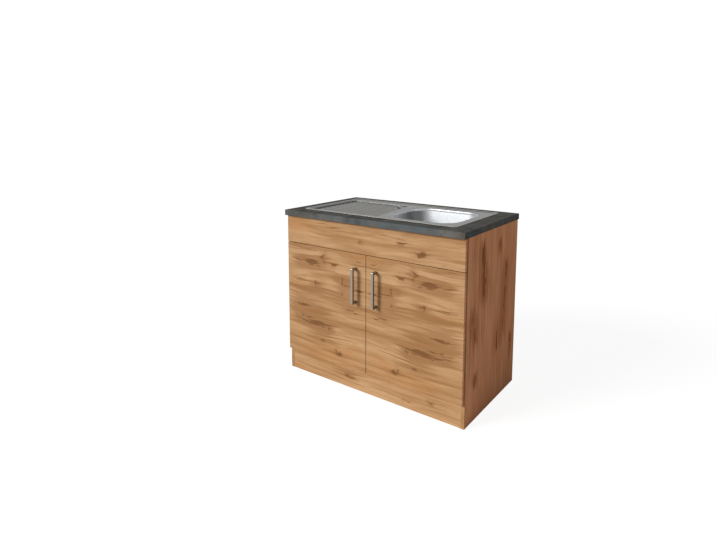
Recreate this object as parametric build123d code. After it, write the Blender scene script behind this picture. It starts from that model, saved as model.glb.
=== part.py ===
from build123d import *
import math
import os

# Kitchen sink unit: a two-door base unit with a false drawer front, a worktop and an inset steel
# sink with a drainer on the left and the bowl on the right. Millimetres, +Z up, +X to the right,
# +Y to the back. The origin is on the floor under the middle of the whole unit.

# Whole unit
unit_width = 1000.0
unit_height = 850.0
board = 16.0  # thickness of the carcass, door, false front and plinth boards
arris = 0.8  # rounding along the front edges of the doors and the false front

# Worktop
worktop_depth = 600.0
worktop_thickness = 28.0
worktop_arris = 1.5
spacer_radius = 9.0
spacer_count = 4
spacer_end = 79.0  # side panel to the middle of the nearest spacer
front_overhang = 34.0  # worktop's front edge to the carcass's front
rear_overhang = 15.0  # carcass's back to the worktop's back edge

# Fronts
front_gap = 2.0  # carcass to the back of a closed door
reveal = 3.0  # gap between two fronts
side_reveal = 4.0  # edge of a front to the outer face of the side panel
plinth_height = 110.0
plinth_setback = 1.0
false_front_height = 135.0

# Rails of the carcass
front_rail_height = 80.0
mid_rail_depth = 60.0
mid_rail_cover = 2.0  # rail's top above the lower edge of the false front
rear_rail_height = 100.0
wall_hole_end = 84.0  # side panel to the screw hole for the wall
wall_hole_radius = 3.0

# Cam fittings between rails, shelf and side panels
cam_radius = 7.4
cam_length = 12.0
cam_inset = 24.0  # board's end to the cam's centre
cam_bolt_radius = 3.0
cam_bolt_bite = 11.0  # length of bolt in the side panel
shelf_cam_inset = 60.0  # shelf's front or back edge to its cam
bore_clearance = 0.1  # on radius, round a fixed pin, screw or cam

# Brackets of folded steel
bracket_sheet = 2.0
bracket_leg = 28.0
bracket_width = 30.0
bracket_inset = 90.0  # from a carcass edge to the middle of the nearest bracket
plinth_bracket_end = 104.0  # side panel to the middle of the nearest plinth bracket

# Handles, bows of square bar
handle_bar = 12.0
handle_spacing = 160.0  # between the two fixing screws
handle_projection = 35.0
handle_bend = 4.0  # outside of the two bends
handle_crook = 2.0  # inside of the two bends
handle_arris = 1.0
handle_from_centre = 58.0
handle_drop = 71.0  # door's top to the upper fixing screw
handle_screw_radius = 2.0
handle_screw_bite = 9.0
screw_head_radius = 4.0
screw_head_height = 1.6

# Door bumpers
bumper_radius = 4.5
bumper_clearance = 0.3
bumper_inset = 30.0

# Cup hinges. Places are from the side panel's inner face (x) and its front edge (y).
hinge_end = 90.0  # top or bottom edge of a door to the hinge's middle
cup_radius = 17.4
cup_depth = 12.0
cup_wall = 0.8
cup_edge = 4.0  # door's edge to the cup's bore
flange_sheet = 0.9
flange_screw_pitch = 48.0
flange_screw_offset = 6.0
flange_ear = 4.5  # half the width of the ears that take the screws
flange_lip = 2.6  # flange's reach past the cup
hinge_pin_radius = 1.25
pin_clearance = 0.05
arm_pin_x = 19.0
arm_pin_y = 2.8
cup_pin_x = -3.5
cup_pin_y = -9.5
link_sheet = 1.8
link_half_width = 5.0
link_eye = 2.3
link_foot = 10.0  # from the cup pin to the link's bend
link_foot_angle = -12.0
arm_sheet = 1.3
arm_nose = 3.9
arm_half_width = 8.4
arm_back = 58.0
arm_lift = 13.4  # panel to the outer face of the arm
arm_foot = 4.0  # panel to the open edges of the arm
arm_screw_y = 47.0
arm_screw_bite = 8.0
plate_sheet = 2.0
plate_front = 30.0
wing_half = 6.5
plate_setback = 37.0  # panel's front edge to the mounting plate's screws
plate_screw_pitch = 32.0
plate_screw_radius = 2.5
plate_screw_bite = 11.0
cup_screw_radius = 1.75
cup_screw_bite = 10.0

# Sink top, pressed from one sheet
sheet = 1.0
sink_left = 57.0  # margins are from the worktop's edges to the sink's
sink_right = 77.0
sink_front = 81.0
sink_back = 56.0
sink_corner = 14.0
rim_rise = 3.0  # rim's top above the worktop
rim_width = 16.0
rim_step = 2.0  # deck below the rim
rim_round = 2.0
sink_landing = 12.0  # rim resting on the worktop round the cut-out
cutout_corner = 10.0
weld_drop = 13.0  # deck to the seam where the bowl is welded on
edge_field = 5.0  # beyond a recess's outline, where its rounded edges are looked for

# Drainer. Margins are from the sink's edges, gaps from the bowl's left side.
drainer_depth = 8.0
drainer_margin_left = 29.0
drainer_margin_front = 27.0
drainer_margin_back = 64.0
drainer_gap_front = 17.0
drainer_gap_back = 56.0
drainer_gap_notch = 106.0
notch_start = 80.0  # recess's back edge to the slant's rear end
notch_end = 55.0  # recess's back edge to the corner beside the tap hole
drainer_corner = 18.0
drainer_top_round = 3.0
drainer_foot_round = 4.0
rib_pitch = 40.0
rib_width = 22.0
rib_height = 3.0
rib_end_gap = 11.0

# Tap hole
tap_gap = 70.0  # bowl's left side to the hole's middle
tap_margin = 97.0  # sink's back edge to the hole's middle
tap_radius = 17.5
tap_ring_radius = 30.0
tap_ring_thickness = 3.0

# Bowl, deep drawn. Margins are from the sink's edges.
bowl_width = 363.0
bowl_margin_right = 50.0
bowl_margin_front = 47.0
bowl_margin_back = 69.0
bowl_corner = 90.0
bowl_depth = 155.0  # deck to the bowl's floor
bowl_draft = 4.0
bowl_foot_round = 45.0
bowl_lip_round = 5.0

# Clips and seal under the rim
seal_thickness = rim_rise - sheet
seal_width = 7.0
seal_edge_gap = 0.5
clip_width = 16.0
clip_sheet = 2.0
clip_drop = 7.0  # clip's foot below the worktop
clip_reach = 18.0
clip_end = 133.0  # sink's left or right edge to the middle of the nearest clip

# Basket strainer waste
waste_hole_radius = 45.0
waste_flange_radius = 56.0
pan_radius = 43.5
pan_depth = 38.0
pan_sheet = 1.2
drain_hole_radius = 4.0
drain_hole_circle = 24.0
drain_hole_count = 9
gasket_thickness = 3.0
waste_body_radius = 49.5
waste_wall = 2.5
waste_collar = 4.0
waste_shoulder = 42.0
waste_cone = 22.0
outlet_radius = 23.9  # outside of a G1 1/2 thread
outlet_length = 26.0
hub_radius = 8.0
spoke_width = 4.0
waste_screw_radius = 3.0
waste_screw_length = 18.0
waste_screw_head_radius = 6.0
waste_screw_head_height = 3.0
basket_radius = 41.8
basket_sheet = 1.0
basket_height = 26.0
basket_seal_inner = 12.0
basket_seal_outer = 34.0
basket_seal_thickness = 4.0
stem_radius = 4.0
knob_radius = 10.0
knob_height = 6.0

# Levels
carcass_height = unit_height - worktop_thickness
shelf_top = plinth_height + board
false_front_bottom = carcass_height - reveal - false_front_height
door_top = false_front_bottom - reveal
rim_level = unit_height + rim_rise
deck_level = rim_level - rim_step
weld_level = deck_level - weld_drop
bowl_floor = deck_level - bowl_depth
mid_rail_bottom = false_front_bottom + mid_rail_cover - board

# Depths, from the front of the handles to the back of the worktop
handle_reach = handle_projection - (front_overhang - front_gap - board)
worktop_front = (handle_reach - worktop_depth) / 2
worktop_back = worktop_front + worktop_depth
carcass_front = worktop_front + front_overhang
carcass_back = worktop_back - rear_overhang
door_back = carcass_front - front_gap
door_face = door_back - board

# Widths
half_width = unit_width / 2
inner = half_width - board  # middle of the unit to a side panel's inner face
front_edge = half_width - side_reveal
door_width = front_edge - reveal / 2

# Sink, bowl, drainer and tap hole, from the worktop's left end and front edge
sink_width = unit_width - sink_left - sink_right
sink_depth = worktop_depth - sink_front - sink_back
bowl_left = sink_left + sink_width - bowl_margin_right - bowl_width
bowl_front = sink_front + bowl_margin_front
bowl_length = sink_depth - bowl_margin_front - bowl_margin_back
drainer_left = sink_left + drainer_margin_left
drainer_front = sink_front + drainer_margin_front
drainer_back = sink_front + sink_depth - drainer_margin_back
drainer_end_front = bowl_left - drainer_gap_front
drainer_end_back = bowl_left - drainer_gap_back
drainer_notch_left = bowl_left - drainer_gap_notch
drainer_notch_front = drainer_back - notch_start
drainer_notch_back = drainer_back - notch_end
tap_x = bowl_left - tap_gap
tap_y = sink_front + sink_depth - tap_margin

# Middles of the sink, bowl and tap hole
sink_x = -half_width + sink_left + sink_width / 2
sink_y = worktop_front + sink_front + sink_depth / 2
bowl_x = -half_width + bowl_left + bowl_width / 2
bowl_y = worktop_front + bowl_front + bowl_length / 2
tap_centre = (tap_x - half_width, tap_y + worktop_front)

# Where the hinges stand, and the cup's middle from the panel's inner face
hinge_levels = (plinth_height + hinge_end, door_top - hinge_end)
cup_x = side_reveal - board + cup_edge + cup_radius + bore_clearance
pin_offset = cup_x - cup_pin_x + hinge_pin_radius  # cup's middle to the far side of its pin
cup_pin_half_length = math.sqrt(cup_radius**2 - pin_offset**2) - bore_clearance
handle_ends = (door_top - handle_drop - handle_spacing, door_top - handle_drop)

# Each joint of a board with the side panels: y and z of the bolt's line, and the way its cam faces
cam_joints = {
    "bottom_shelf": [
        (carcass_front + shelf_cam_inset, plinth_height + board / 2, (0, 0, -1)),
        (carcass_back - shelf_cam_inset, plinth_height + board / 2, (0, 0, -1)),
    ],
    "front_rail": [
        (carcass_front + board / 2, carcass_height - front_rail_height / 2, (0, 1, 0))
    ],
    "mid_rail": [
        (carcass_front + mid_rail_depth / 2, mid_rail_bottom + board / 2, (0, 0, -1))
    ],
    "rear_rail_top": [
        (carcass_back - board / 2, carcass_height - rear_rail_height / 2, (0, -1, 0))
    ],
    "rear_rail_bottom": [
        (carcass_back - board / 2, shelf_top + rear_rail_height / 2, (0, -1, 0))
    ],
}


def block(x, y, z):
    """A box from three (low, high) pairs."""
    corner = Pos(x[0], y[0], z[0])
    return corner * Box(
        x[1] - x[0], y[1] - y[0], z[1] - z[0], align=(Align.MIN, Align.MIN, Align.MIN)
    )


def rod(start, direction, radius, length):
    """A round bar from start, along direction."""
    return Plane(origin=start, z_dir=direction) * Cylinder(
        radius, length, align=(Align.CENTER, Align.CENTER, Align.MIN)
    )


def screw(start, direction, radius, length, head_radius, head_height):
    """A screw whose head sits at start, its shank along direction."""
    back = tuple(-value for value in direction)
    return rod(start, direction, radius, length) + rod(start, back, head_radius, head_height)


def turned(points, x, y):
    """A turned piece from its (radius, level) outline, standing at x, y."""
    outline = make_face(Plane.XZ * Polyline(*points, close=True))
    return Pos(x, y, 0) * revolve(outline, Axis.Z)


def mirrored(shape):
    """The same piece on the other side of the unit."""
    return mirror(shape, about=Plane.YZ)


def cam_bore(side, joint):
    """Bores for one cam and its bolt, in the board and the side panel."""
    y, z, facing = joint
    middle = Vector(side * (inner - cam_inset), y, z)
    mouth = middle + Vector(*facing) * (board / 2)
    inward = tuple(-value for value in facing)
    cam = rod(mouth, inward, cam_radius + bore_clearance, cam_length)
    bolt = rod(
        middle, (side, 0, 0), cam_bolt_radius + bore_clearance, cam_inset + cam_bolt_bite
    )
    return cam + bolt


def with_cam_bores(shape, names):
    for name in names:
        for joint in cam_joints[name]:
            for side in (-1, 1):
                shape -= cam_bore(side, joint)
    return shape


def cam_set():
    """The cams and their bolts, each as a list of solids."""
    cams = []
    bolts = []
    for joints in cam_joints.values():
        for y, z, facing in joints:
            for side in (-1, 1):
                middle = Vector(side * (inner - cam_inset), y, z)
                mouth = middle + Vector(*facing) * (board / 2)
                inward = tuple(-value for value in facing)
                slot = rod(
                    middle, (side, 0, 0), cam_bolt_radius + bore_clearance, 2 * cam_radius
                )
                cams.append(rod(mouth, inward, cam_radius, cam_length) - slot)
                bolts.append(
                    rod(middle, (side, 0, 0), cam_bolt_radius, cam_inset + cam_bolt_bite)
                )
    return cams, bolts


def side_panel(side):
    ends = sorted((side * inner, side * half_width))
    panel = block(ends, (carcass_front, carcass_back), (0, carcass_height))
    panel = with_cam_bores(panel, cam_joints)
    for level in hinge_levels:
        for step in (-plate_screw_pitch / 2, plate_screw_pitch / 2):
            start = (side * inner, carcass_front + plate_setback, level + step)
            bore = plate_screw_radius + bore_clearance
            panel -= rod(start, (side, 0, 0), bore, plate_screw_bite)
    return panel


def bottom_shelf():
    shelf = block(
        (-inner, inner), (carcass_front, carcass_back), (plinth_height, shelf_top)
    )
    return with_cam_bores(shelf, ["bottom_shelf"])


def front_rail():
    rail = block(
        (-inner, inner),
        (carcass_front, carcass_front + board),
        (carcass_height - front_rail_height, carcass_height),
    )
    return with_cam_bores(rail, ["front_rail"])


def mid_rail():
    """The flat rail behind the gap between the doors and the false front."""
    rail = block(
        (-inner, inner),
        (carcass_front, carcass_front + mid_rail_depth),
        (mid_rail_bottom, mid_rail_bottom + board),
    )
    return with_cam_bores(rail, ["mid_rail"])


def rear_rail(name, bottom):
    rail = block(
        (-inner, inner), (carcass_back - board, carcass_back), (bottom, bottom + rear_rail_height)
    )
    rail = with_cam_bores(rail, [name])
    if name == "rear_rail_top":
        for x in (wall_hole_end - inner, inner - wall_hole_end):
            start = (x, carcass_back, bottom + rear_rail_height / 2)
            rail -= rod(start, (0, -1, 0), wall_hole_radius, board)
    return rail


def plinth_board():
    front = carcass_front + plinth_setback
    return block((-inner, inner), (front, front + board), (0, plinth_height))


def plinth_brackets():
    """Three brackets in the corner between the back of the plinth and the shelf."""
    fold = carcass_front + plinth_setback + board
    found = []
    for x in (plinth_bracket_end - inner, 0, inner - plinth_bracket_end):
        width = (x - bracket_width / 2, x + bracket_width / 2)
        upright = block(
            width, (fold, fold + bracket_sheet), (plinth_height - bracket_leg, plinth_height)
        )
        foot = block(
            width, (fold, fold + bracket_leg), (plinth_height - bracket_sheet, plinth_height)
        )
        found.append(upright + foot)
    return found


def worktop_brackets():
    """Four brackets in the corners between the side panels and the worktop."""
    found = []
    for y in (carcass_front + bracket_inset, carcass_back - bracket_inset):
        width = (y - bracket_width / 2, y + bracket_width / 2)
        upright = block(
            (inner - bracket_sheet, inner), width, (carcass_height - bracket_leg, carcass_height)
        )
        foot = block(
            (inner - bracket_leg, inner), width, (carcass_height - bracket_sheet, carcass_height)
        )
        found.append(upright + foot)
        found.append(mirrored(upright + foot))
    return found


def false_front_brackets():
    """A bracket on each side panel that holds the lower edge of the false front."""
    low = false_front_bottom + board
    rows = (low, low + bracket_width)
    wing = block((inner - bracket_leg, inner), (door_back, carcass_front), rows)
    leg = block(
        (inner - bracket_sheet, inner), (carcass_front, carcass_front + bracket_leg), rows
    )
    return [wing + leg, mirrored(wing + leg)]


def false_front_spacers():
    """Washers between the front rail and the false front, so that it lines up with the doors."""
    level = carcass_height - front_rail_height / 2
    first = spacer_end - inner
    pitch = -2 * first / (spacer_count - 1)
    found = []
    for index in range(spacer_count):
        start = (first + index * pitch, carcass_front, level)
        found.append(rod(start, (0, -1, 0), spacer_radius, front_gap))
    return found


def worktop():
    top = block(
        (-half_width, half_width), (worktop_front, worktop_back), (carcass_height, unit_height)
    )
    front_face = top.faces().sort_by(Axis.Y)[0]
    long_edges = front_face.edges().filter_by(Axis.X)
    top = fillet(long_edges, worktop_arris)
    cutout = RectangleRounded(
        sink_width - 2 * sink_landing, sink_depth - 2 * sink_landing, cutout_corner
    )
    return top - Pos(sink_x, sink_y, carcass_height) * extrude(cutout, worktop_thickness)


def front_board(x, z):
    """A door or false front, its front edges eased."""
    front = block(x, (door_face, door_back), z)
    return fillet(front.faces().sort_by(Axis.Y)[0].edges(), arris)


def false_drawer_front():
    return front_board((-front_edge, front_edge), (false_front_bottom, carcass_height - reveal))


# Doors and hinges are made for the left-hand side and mirrored.


def hinge_point(x, y, z):
    """A place given from the left panel's inner face and front edge."""
    return (x - inner, carcass_front + y, z)


def cup_screw_places():
    """Heads of the cup screws on the flange: two to each cup."""
    half = flange_screw_pitch / 2
    depth = flange_sheet - front_gap
    return [
        hinge_point(cup_x + flange_screw_offset, depth, level + step)
        for level in hinge_levels
        for step in (-half, half)
    ]


def door():
    leaf = front_board((-front_edge, -reveal / 2), (plinth_height, door_top))
    for level in hinge_levels:
        mouth = hinge_point(cup_x, -front_gap, level)
        leaf -= rod(mouth, (0, -1, 0), cup_radius + bore_clearance, cup_depth)
    for place in cup_screw_places():
        bore = cup_screw_radius + bore_clearance
        leaf -= rod(place, (0, -1, 0), bore, flange_sheet + cup_screw_bite)
    for level in handle_ends:
        start = (-handle_from_centre, door_back, level)
        leaf -= rod(start, (0, -1, 0), handle_screw_radius + bore_clearance, board)
    return leaf


def bow_outline(reach, ends, bend):
    """Side view of a bow from the door's face, its two outer corners rounded."""
    outline = Plane.YZ * Pos(door_face - reach / 2, sum(ends) / 2) * Rectangle(
        reach, ends[1] - ends[0]
    )
    corners = outline.vertices().sort_by(Axis.Y)[:2]
    return fillet(corners, bend)


def handle():
    """A square bow with its long edges eased, and a blind tapped bore in each foot."""
    ends = handle_ends[0] - handle_bar / 2, handle_ends[1] + handle_bar / 2
    outer = bow_outline(handle_projection, ends, handle_bend)
    inside = ends[0] + handle_bar, ends[1] - handle_bar
    opening = bow_outline(handle_projection - handle_bar, inside, handle_crook)
    bow = extrude(outer - opening, handle_bar / 2, both=True)
    flanks = bow.faces().sort_by(Axis.X)
    edges = flanks[0].edges() + flanks[-1].edges()
    bow = fillet([edge for edge in edges if edge.center().Y < door_face - handle_arris], handle_arris)
    bow = Pos(-handle_from_centre, 0, 0) * bow
    for level in handle_ends:
        start = (-handle_from_centre, door_face, level)
        bore = handle_screw_radius + bore_clearance
        bow -= rod(start, (0, -1, 0), bore, handle_screw_bite + bore_clearance)
    return bow


def handle_screws():
    return [
        screw(
            (-handle_from_centre, door_back, level),
            (0, -1, 0),
            handle_screw_radius,
            board + handle_screw_bite,
            screw_head_radius,
            screw_head_height,
        )
        for level in handle_ends
    ]


def door_bumpers():
    """Soft dots at the free corners of a door, one against the mid rail and one on the shelf."""
    levels = (plinth_height + board / 2, (mid_rail_bottom + door_top) / 2)
    x = -reveal / 2 - bumper_inset
    return [
        rod((x, door_back, level), (0, 1, 0), bumper_radius, front_gap - bumper_clearance)
        for level in levels
    ]


def hinge_cup(level):
    mouth = hinge_point(cup_x, -front_gap, level)
    cup = rod(mouth, (0, -1, 0), cup_radius, cup_depth)
    face = Plane(origin=mouth, x_dir=(1, 0, 0), z_dir=(0, 1, 0))
    wing = Pos(flange_screw_offset, 0) * SlotOverall(
        flange_screw_pitch + 2 * flange_ear, 2 * flange_ear, rotation=90
    )
    flange = Circle(cup_radius + flange_lip) + wing
    cup += extrude(face * flange, flange_sheet)
    hollow = cup_radius - cup_wall
    start = hinge_point(cup_x, flange_sheet - front_gap, level)
    cup -= rod(start, (0, -1, 0), hollow, flange_sheet + cup_depth - cup_wall)
    for place in cup_screw_places():
        cup -= rod(place, (0, -1, 0), cup_screw_radius + bore_clearance, flange_sheet)
    return cup - pin(cup_pin_x, cup_pin_y, level, pin_clearance)


def pin(x, y, level, grow=0.0):
    """A hinge pin along Z, or with grow its bore."""
    half = cup_pin_half_length if x == cup_pin_x else arm_half_width
    return rod(
        hinge_point(x, y, level - half - grow), (0, 0, 1), hinge_pin_radius + grow, 2 * (half + grow)
    )


def link_outline():
    """Side view of the link: an eye on each pin and a cranked strip between them."""
    angle = math.radians(link_foot_angle)
    cup_pin = Vector(cup_pin_x, cup_pin_y)
    arm_pin = Vector(arm_pin_x, arm_pin_y)
    bend = cup_pin + Vector(math.cos(angle), math.sin(angle)) * link_foot
    outline = Pos(*cup_pin) * Circle(link_eye) + Pos(*arm_pin) * Circle(link_eye)
    for start, end in ((cup_pin, bend), (bend, arm_pin)):
        run = end - start
        strip = SlotCenterToCenter(
            run.length, link_sheet, rotation=math.degrees(math.atan2(run.Y, run.X))
        )
        outline += Pos(*((start + end) / 2)) * strip
    hole = Circle(hinge_pin_radius + pin_clearance)
    return outline - Pos(*cup_pin) * hole - Pos(*arm_pin) * hole


def hinge_link(level):
    place = Pos(*hinge_point(0, 0, level - link_half_width))
    return place * extrude(link_outline(), 2 * link_half_width)


def arm_outline():
    back = (arm_foot, arm_back), (arm_lift, arm_back), (arm_lift, plate_front)
    nose = (arm_pin_x + arm_nose, plate_front / 2), (arm_pin_x + arm_nose, arm_pin_y)
    under = (arm_pin_x - arm_nose, arm_pin_y), (arm_foot, plate_front)
    side = make_face(Polyline(*back, *nose, *under, close=True))
    return side + Pos(arm_pin_x, arm_pin_y) * Circle(arm_nose)


def arm_screw(level, grow=0.0):
    start = hinge_point(arm_lift, arm_screw_y, level)
    if grow:
        return rod(start, (-1, 0, 0), plate_screw_radius + grow, arm_sheet + arm_screw_bite)
    return screw(
        start,
        (-1, 0, 0),
        plate_screw_radius,
        arm_sheet + arm_screw_bite,
        screw_head_radius,
        screw_head_height,
    )


def hinge_arm(level):
    """A channel open to the panel, which slides over the mounting plate."""
    outer = extrude(arm_outline(), 2 * arm_half_width)
    hollow_width = 2 * (arm_half_width - arm_sheet)
    hollow = Pos(-arm_sheet, 0, arm_sheet) * extrude(arm_outline(), hollow_width)
    arm = Pos(*hinge_point(0, 0, level - arm_half_width)) * (outer - hollow)
    arm -= pin(arm_pin_x, arm_pin_y, level, pin_clearance)
    return arm - arm_screw(level, bore_clearance)


def hinge_plate(level):
    """The cross-shaped mounting plate, screwed to the panel."""
    half = arm_half_width - arm_sheet - bore_clearance
    x = (-inner, -inner + arm_lift - arm_sheet)
    y = (carcass_front + plate_front, carcass_front + arm_back - arm_sheet)
    plate = block(x, y, (level - half, level + half))
    wing = plate_screw_pitch / 2 + 2 * screw_head_radius
    plate += block(
        (-inner, -inner + plate_sheet),
        (carcass_front + plate_setback - wing_half, carcass_front + plate_setback + wing_half),
        (level - wing, level + wing),
    )
    for step in (-plate_screw_pitch / 2, plate_screw_pitch / 2):
        start = hinge_point(0, plate_setback, level + step)
        plate -= rod(start, (1, 0, 0), plate_screw_radius + bore_clearance, plate_sheet)
    return plate - arm_screw(level, bore_clearance)


def hinge_screws():
    """Screws of the mounting plates and arms on both sides."""
    found = []
    for level in hinge_levels:
        left = [arm_screw(level)]
        for step in (-plate_screw_pitch / 2, plate_screw_pitch / 2):
            left.append(
                screw(
                    hinge_point(plate_sheet, plate_setback, level + step),
                    (-1, 0, 0),
                    plate_screw_radius,
                    plate_sheet + plate_screw_bite,
                    screw_head_radius,
                    screw_head_height,
                )
            )
        found += left + [mirrored(piece) for piece in left]
    return found


def cup_screws():
    length = flange_sheet + cup_screw_bite
    return [
        screw(place, (0, -1, 0), cup_screw_radius, length, 2 * cup_screw_radius, flange_sheet)
        for place in cup_screw_places()
    ]


# Sink: the pressed top is one form less the same form moved square into the sheet by its thickness.


def on_worktop(x, y):
    """A place given from the worktop's left end and front edge."""
    return (x - half_width, y + worktop_front)


def rim_outline(inset, corner):
    outline = RectangleRounded(sink_width - 2 * inset, sink_depth - 2 * inset, corner)
    return Pos(sink_x, sink_y) * outline


def bowl_outline(grow):
    outline = RectangleRounded(
        bowl_width + 2 * grow, bowl_length + 2 * grow, bowl_corner + grow
    )
    return Pos(bowl_x, bowl_y) * outline


def drainer_outline(grow):
    """The drainer's recess in plan, its right end slanted and notched round the tap hole."""
    points = [
        on_worktop(drainer_left, drainer_front),
        on_worktop(drainer_end_front, drainer_front),
        on_worktop(drainer_end_back, drainer_notch_front),
        on_worktop(drainer_notch_left, drainer_notch_back),
        on_worktop(drainer_notch_left, drainer_back),
        on_worktop(drainer_left, drainer_back),
    ]
    outline = make_face(Polyline(*points, close=True))
    outline = fillet(outline.vertices(), drainer_corner)
    return offset(outline, grow) if grow else outline


def level_edges(form, level, x, y):
    """Edges that lie flat at one level, with their middles inside a field in plan."""
    found = []
    for edge in form.edges():
        box = edge.bounding_box()
        middle = box.center()
        flat = box.max.Z - box.min.Z < 0.01 and abs(middle.Z - level) < 0.01
        if flat and x[0] < middle.X < x[1] and y[0] < middle.Y < y[1]:
            found.append(edge)
    return found


def rib_rows():
    """Each rib's left end, right end and middle line, from the worktop's left end and front."""
    field = drainer_back - drainer_front - rib_width - 4 * drainer_foot_round
    count = int(field / rib_pitch) + 1
    middle = (drainer_front + drainer_back) / 2
    slant = (drainer_end_back - drainer_end_front) / (drainer_notch_front - drainer_front)
    rows = []
    for index in range(count):
        y = middle + (index - (count - 1) / 2) * rib_pitch
        rear = y + rib_width / 2
        if rear < drainer_notch_front:
            end = drainer_end_front + slant * (rear - drainer_front)
        else:
            end = drainer_notch_left
        rows.append((drainer_left + rib_end_gap, end - rib_end_gap, y))
    return rows


def rib(row, inset):
    """A long rib with a round back and sloping ends."""
    left, right, y = row
    left, y_middle = on_worktop(left, y)
    right, y_middle = on_worktop(right, y)
    floor = deck_level - drainer_depth - inset
    back_radius = (rib_width**2 / 4 + rib_height**2) / (2 * rib_height)
    axis_level = floor + inset + rib_height - back_radius
    back = rod((left, y_middle, axis_level), (1, 0, 0), back_radius - inset, right - left)
    shift = inset * (math.sqrt(2) - 1) - sheet / 2
    top_shift = shift + rib_height + sheet / 2
    ends = Plane.XZ * Polyline(
        (left + shift, floor - sheet / 2),
        (left + top_shift, floor + rib_height),
        (right - top_shift, floor + rib_height),
        (right - shift, floor - sheet / 2),
        close=True,
    )
    prism = extrude(make_face(ends), rib_width, both=True)
    return back & (Pos(0, y_middle, 0) * prism)


def pressed_form(inset):
    """All that lies under the sheet's upper face, moved square into the sheet by inset."""
    top = rim_level - inset
    deck = deck_level - inset
    base = weld_level - sheet - inset
    slope_shift = inset * (math.sqrt(2) - 1)

    form = Pos(0, 0, base) * extrude(rim_outline(inset, sink_corner - inset), top - base)
    form = fillet(form.faces().sort_by(Axis.Z)[-1].edges(), rim_round - inset)
    well = Plane(origin=(0, 0, top), x_dir=(1, 0, 0), z_dir=(0, 0, -1))
    well_outline = Pos(0, -2 * sink_y) * rim_outline(rim_width - slope_shift, sink_corner)
    form -= well * extrude(well_outline, rim_step, taper=45)

    recess = extrude(drainer_outline(inset), drainer_depth + sheet)
    foot = recess.faces().sort_by(Axis.Z)[0].edges()
    recess = fillet(foot, drainer_foot_round + inset)
    form -= Pos(0, 0, deck - drainer_depth) * recess
    near = on_worktop(drainer_left - edge_field, drainer_front - edge_field)
    far = on_worktop(drainer_end_front + edge_field, drainer_back + edge_field)
    lip = level_edges(form, deck, (near[0], far[0]), (near[1], far[1]))
    form = fillet(lip, drainer_top_round - inset)

    form -= Pos(0, 0, base) * extrude(bowl_outline(inset), top - base)
    reach = bowl_width / 2 + edge_field, bowl_length / 2 + edge_field
    mouth = level_edges(
        form,
        deck,
        (bowl_x - reach[0], bowl_x + reach[0]),
        (bowl_y - reach[1], bowl_y + reach[1]),
    )
    form = fillet(mouth, bowl_lip_round - inset)
    for row in rib_rows():
        form += rib(row, inset)
    return form


def sink_top():
    """The pressed top: raised rim, deck, ribbed drainer, and a turned-down lip for the bowl."""
    pressed = pressed_form(0) - pressed_form(sheet)
    above = Pos(0, 0, unit_height) * extrude(rim_outline(0, sink_corner), rim_rise)
    inside = rim_outline(sink_landing + 2 * sheet, cutout_corner)
    through = Pos(0, 0, weld_level) * extrude(inside, rim_level - weld_level)
    pressed = pressed & (above + through)
    return pressed - rod((*tap_centre, weld_level), (0, 0, 1), tap_radius, rim_level - weld_level)


def sink_bowl():
    """The drawn bowl, its edge butted to the lip of the top and its floor holed for the waste."""
    seam = Plane(origin=(0, 0, weld_level), x_dir=(1, 0, 0), z_dir=(0, 0, -1))
    shells = []
    for grow in (sheet, 0):
        outline = Pos(0, -2 * bowl_y) * bowl_outline(grow)
        body = seam * extrude(outline, weld_level - bowl_floor + grow, taper=bowl_draft)
        foot = body.faces().sort_by(Axis.Z)[0].edges()
        shells.append(fillet(foot, bowl_foot_round + grow))
    bowl = shells[0] - shells[1]
    hole = rod((bowl_x, bowl_y, bowl_floor), (0, 0, -1), waste_hole_radius, sheet)
    return bowl - hole


def tap_ring():
    """Stiffening ring on the underside of the deck round the tap hole."""
    start = (*tap_centre, deck_level - sheet)
    ring = rod(start, (0, 0, -1), tap_ring_radius, tap_ring_thickness)
    return ring - rod(start, (0, 0, -1), tap_radius, tap_ring_thickness)


def sink_seal():
    """Foam strip between the rim and the worktop, inside the rim's turned edge."""
    edge = rim_round + seal_edge_gap
    strip = rim_outline(edge, sink_corner - edge) - rim_outline(edge + seal_width, sheet)
    return Pos(0, 0, unit_height) * extrude(strip, seal_thickness)


def sink_clips():
    """Clips that pull the rim down from below, round the cut-out."""
    foot_level = carcass_height - clip_drop
    near = sink_landing + sheet
    arm = (-near - clip_sheet, clip_reach - sink_landing)
    profile = [
        ((-near - clip_sheet, -near), (foot_level, rim_level - sheet)),
        (arm, (foot_level, foot_level + clip_sheet)),
        ((arm[1] - clip_sheet, arm[1]), (foot_level, carcass_height)),
    ]
    clip = Part()
    for out, level in profile:
        clip += block((-clip_width / 2, clip_width / 2), out, level)
    found = []
    for step in (-1, 0, 1):
        x = sink_x + step * (sink_width / 2 - clip_end)
        found.append(Pos(x, sink_y + sink_depth / 2, 0) * clip)
        found.append(Pos(x, sink_y - sink_depth / 2, 0) * (Rot(0, 0, 180) * clip))
    found.append(Pos(sink_x + sink_width / 2, sink_y, 0) * (Rot(0, 0, -90) * clip))
    found.append(Pos(sink_x - sink_width / 2, sink_y, 0) * (Rot(0, 0, 90) * clip))
    return found


# Basket strainer waste, all turned about the bowl's axis.


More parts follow.
